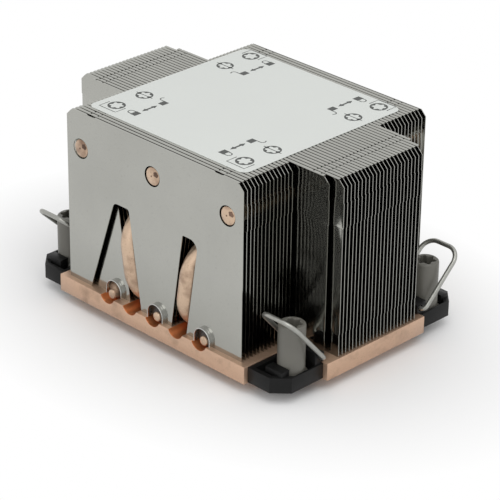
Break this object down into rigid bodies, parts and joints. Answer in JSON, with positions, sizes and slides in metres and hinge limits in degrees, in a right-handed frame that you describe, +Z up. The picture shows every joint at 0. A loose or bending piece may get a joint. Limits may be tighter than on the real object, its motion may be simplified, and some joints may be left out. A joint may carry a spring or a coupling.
{
  "type": "passive server cpu heatsink",
  "caption": "Passive heatsink for a 2U server processor: stacked folded fins on a copper base with bent heat pipes, captive corner nuts and swinging wire bails.",
  "frame": {"origin": "middle of the contact face that presses on the processor", "axes": "+Z up away from the processor, +Y along the fins with the air, +X across the stack of fins"},
  "size_m": [0.078, 0.108, 0.064],
  "materials": {
    "copper_plate": "satin bare copper",
    "copper_pipe": "satin bare copper, heat-stained",
    "fin_sheet": "satin rolled sheet",
    "label": "matt printed film",
    "black_plastic": "moulded, satin",
    "nut_plastic": "moulded, satin",
    "wire": "drawn wire"
  },
  "bodies": {
    "heatsink": {"base_plate": "copper_plate", "heat_pipe_1": "copper_pipe", "heat_pipe_2": "copper_pipe", "heat_pipe_3": "copper_pipe", "heat_pipe_4": "copper_pipe", "heat_pipe_5": "copper_pipe", "fin_outer_left": "fin_sheet", "fin_backing_left": "fin_sheet", "fins_slotted_left": "fin_sheet", "fins_side_left": "fin_sheet", "fin_step_left": "fin_sheet", "fin_shoulder_left": "fin_sheet", "fins_centre": "fin_sheet", "fin_shoulder_right": "fin_sheet", "fin_step_right": "fin_sheet", "fins_side_right": "fin_sheet", "fins_slotted_right": "fin_sheet", "fin_outer_right": "fin_sheet", "label": "label", "bracket_front_left": "black_plastic", "bracket_front_right": "black_plastic", "bracket_rear_left": "black_plastic", "bracket_rear_right": "black_plastic"},
    "nut_front_left": {"nut_front_left": "nut_plastic"},
    "bail_front_left": {"bail_front_left": "wire"},
    "nut_front_right": {"nut_front_right": "nut_plastic"},
    "bail_front_right": {"bail_front_right": "wire"},
    "nut_rear_left": {"nut_rear_left": "nut_plastic"},
    "bail_rear_left": {"bail_rear_left": "wire"},
    "nut_rear_right": {"nut_rear_right": "nut_plastic"},
    "bail_rear_right": {"bail_rear_right": "wire"}
  },
  "joints": [
    {"name": "nut_spin_front_left", "type": "hinge", "parent": "heatsink", "child": "nut_front_left", "pos_m": [-0.028, -0.047, 0.0062], "axis": [0, 0, 1], "continuous": true},
    {"name": "bail_swing_front_left", "type": "hinge", "parent": "heatsink", "child": "bail_front_left", "pos_m": [-0.021, -0.047, 0.0106], "axis": [0, -1, 0], "range_deg": [-45, 45]},
    {"name": "nut_spin_front_right", "type": "hinge", "parent": "heatsink", "child": "nut_front_right", "pos_m": [0.028, -0.047, 0.0062], "axis": [0, 0, 1], "continuous": true},
    {"name": "bail_swing_front_right", "type": "hinge", "parent": "heatsink", "child": "bail_front_right", "pos_m": [0.021, -0.047, 0.0106], "axis": [0, 1, 0], "range_deg": [-45, 45]},
    {"name": "nut_spin_rear_left", "type": "hinge", "parent": "heatsink", "child": "nut_rear_left", "pos_m": [-0.028, 0.047, 0.0062], "axis": [0, 0, 1], "continuous": true},
    {"name": "bail_swing_rear_left", "type": "hinge", "parent": "heatsink", "child": "bail_rear_left", "pos_m": [-0.021, 0.047, 0.0106], "axis": [0, -1, 0], "range_deg": [-45, 45]},
    {"name": "nut_spin_rear_right", "type": "hinge", "parent": "heatsink", "child": "nut_rear_right", "pos_m": [0.028, 0.047, 0.0062], "axis": [0, 0, 1], "continuous": true},
    {"name": "bail_swing_rear_right", "type": "hinge", "parent": "heatsink", "child": "bail_rear_right", "pos_m": [0.021, 0.047, 0.0106], "axis": [0, 1, 0], "range_deg": [-45, 45]}
  ]
}
